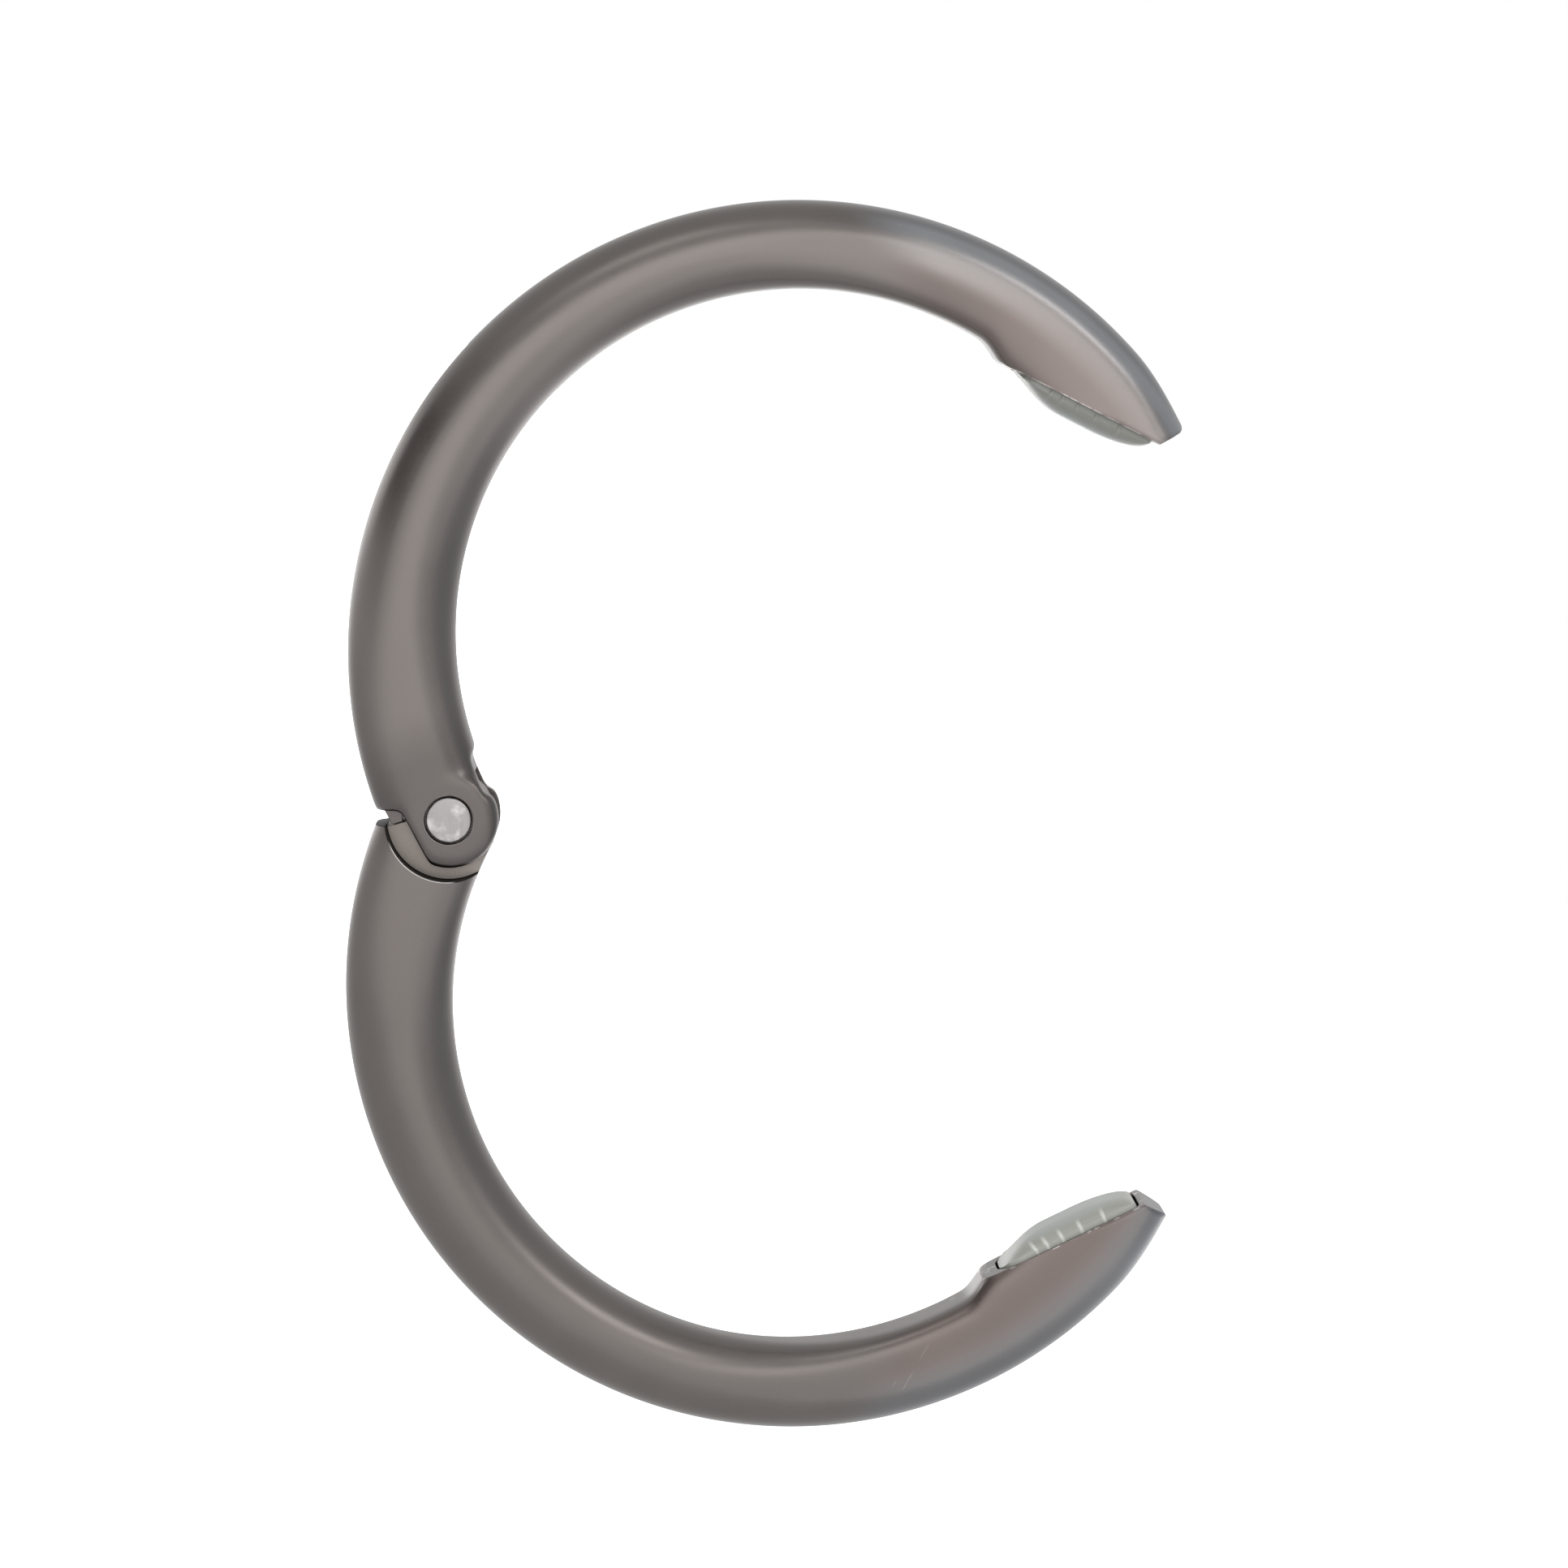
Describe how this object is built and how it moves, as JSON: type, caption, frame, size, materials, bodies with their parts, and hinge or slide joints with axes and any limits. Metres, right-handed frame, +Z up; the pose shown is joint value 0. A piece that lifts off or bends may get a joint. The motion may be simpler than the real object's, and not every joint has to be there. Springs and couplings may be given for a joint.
{
  "type": "purse hook",
  "caption": "Folding ring-shaped purse hook: curved metal arms on a sprung hinge open so that a soft pad stands on a table top and a bag hangs in the ring below.",
  "frame": {"origin": "centre of the flat land of the upper pad, the face that stands on the table top", "axes": "+Z up as the open hook hangs in use, +X from the hinge towards the ring's mouth, -Y towards the face that shows the pin's bright head"},
  "size_m": [0.0953, 0.0094, 0.1098],
  "materials": {
    "gunmetal": "die-cast, plated satin gunmetal",
    "pin_steel": "brushed",
    "spring_steel": "drawn wire",
    "washer_nylon": "matte",
    "pad_silicone": "translucent grey-green silicone"
  },
  "bodies": {
    "upper": {"upper_arm": "gunmetal", "hinge_pin": "pin_steel", "rivet_cap": "pin_steel", "torsion_spring": "spring_steel", "front_washer": "washer_nylon", "rear_washer": "washer_nylon", "upper_pad": "pad_silicone"},
    "lower": {"lower_arm": "gunmetal", "lower_pad": "pad_silicone"}
  },
  "joints": [
    {"name": "arm_hinge", "type": "hinge", "parent": "upper", "child": "lower", "pos_m": [-0.03426, 0, -0.05799], "axis": [0, -1, 0], "range_deg": [0, 56.8], "stiffness_Nm_per_rad": 0.002, "springref_deg": 120.32}
  ]
}
